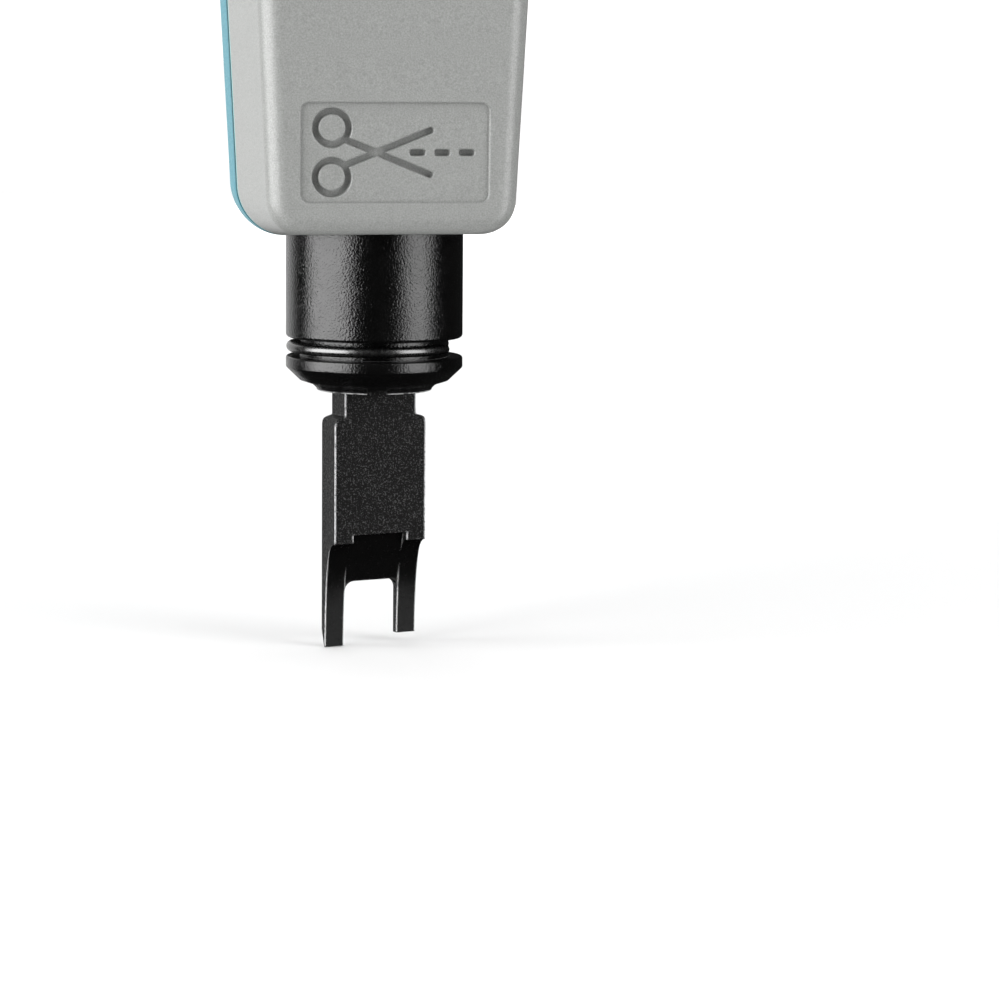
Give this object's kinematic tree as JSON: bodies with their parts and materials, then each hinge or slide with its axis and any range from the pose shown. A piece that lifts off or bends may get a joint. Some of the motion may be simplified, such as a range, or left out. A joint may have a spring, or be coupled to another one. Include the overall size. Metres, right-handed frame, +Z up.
{
  "type": "punch down tool",
  "caption": "Impact punch down tool with a two-shell handle, sliding barrel, bayonet termination blade, force slider and an end cap that holds a spare blade.",
  "frame": {"origin": "on the tool's axis, at the level of the blade's tips", "axes": "+Z up the tool's axis from the blade to the end cap, -Y out of the handle's front face with the sunk panel"},
  "size_m": [0.0344, 0.0296, 0.185],
  "materials": {
    "grey_plastic": "fine spark-eroded texture",
    "teal_plastic": "satin",
    "black_barrel": "semi-gloss black coating",
    "black_blade": "black oxide over sintered steel, worn edges",
    "ring_wire": "dark spring wire",
    "steel": "bright",
    "brass": "turned",
    "rubber": "matt",
    "dark_plastic": "matt"
  },
  "bodies": {
    "handle": {"front_shell": "grey_plastic", "rear_shell": "teal_plastic", "shell_screw_1": "steel", "shell_screw_2": "steel", "shell_screw_3": "steel", "shell_screw_4": "steel", "nose_seal": "rubber", "stroke_bumper": "rubber", "guide_bush": "brass", "guide_tube": "steel", "trip_ring": "steel", "guide_tube_plug": "steel"},
    "plunger": {"plunger_body": "black_barrel", "detent_ring": "ring_wire", "detent_pin": "steel", "striker_stem": "steel", "return_spring": "steel"},
    "blade": {"punch_blade": "black_blade"},
    "hammer_group": {"hammer": "steel", "main_spring": "steel"},
    "latch": {"latch_plate": "steel"},
    "selector": {"spring_seat": "steel", "force_selector": "dark_plastic"},
    "cap": {"storage_cap": "teal_plastic", "cap_seal": "rubber", "blade_cradle": "dark_plastic", "spare_blade": "black_blade"}
  },
  "joints": [
    {"name": "plunger_stroke", "type": "slide", "parent": "handle", "child": "plunger", "axis": [0, 0, 1], "range_m": [0, 0.009], "stiffness_N_per_m": 500, "springref_m": -0.012, "deforming": ["return_spring"]},
    {"name": "hammer_slide", "type": "slide", "parent": "handle", "child": "hammer_group", "axis": [0, 0, 1], "range_m": [0, 0.009], "deforming": ["main_spring"]},
    {"name": "latch_shift", "type": "slide", "parent": "hammer_group", "child": "latch", "axis": [-1, 0, 0], "range_m": [0, 0.0012]},
    {"name": "blade_twist", "type": "hinge", "parent": "plunger", "child": "blade", "pos_m": [0, 0, 0.032], "axis": [0, 0, 1], "range_deg": [0, 66]},
    {"name": "force_select", "type": "slide", "parent": "handle", "child": "selector", "axis": [0, 0, -1], "range_m": [0, 0.005], "stiffness_N_per_m": 300, "springref_m": -0.006},
    {"name": "cap_pull", "type": "slide", "parent": "handle", "child": "cap", "axis": [0, 0, 1], "range_m": [0, 0.045]}
  ],
  "couplings": [
    {"joint": "hammer_slide", "follows": "plunger_stroke", "ratio": 1},
    {"joint": "latch_shift", "follows": "plunger_stroke", "ratio": 0.1333}
  ]
}
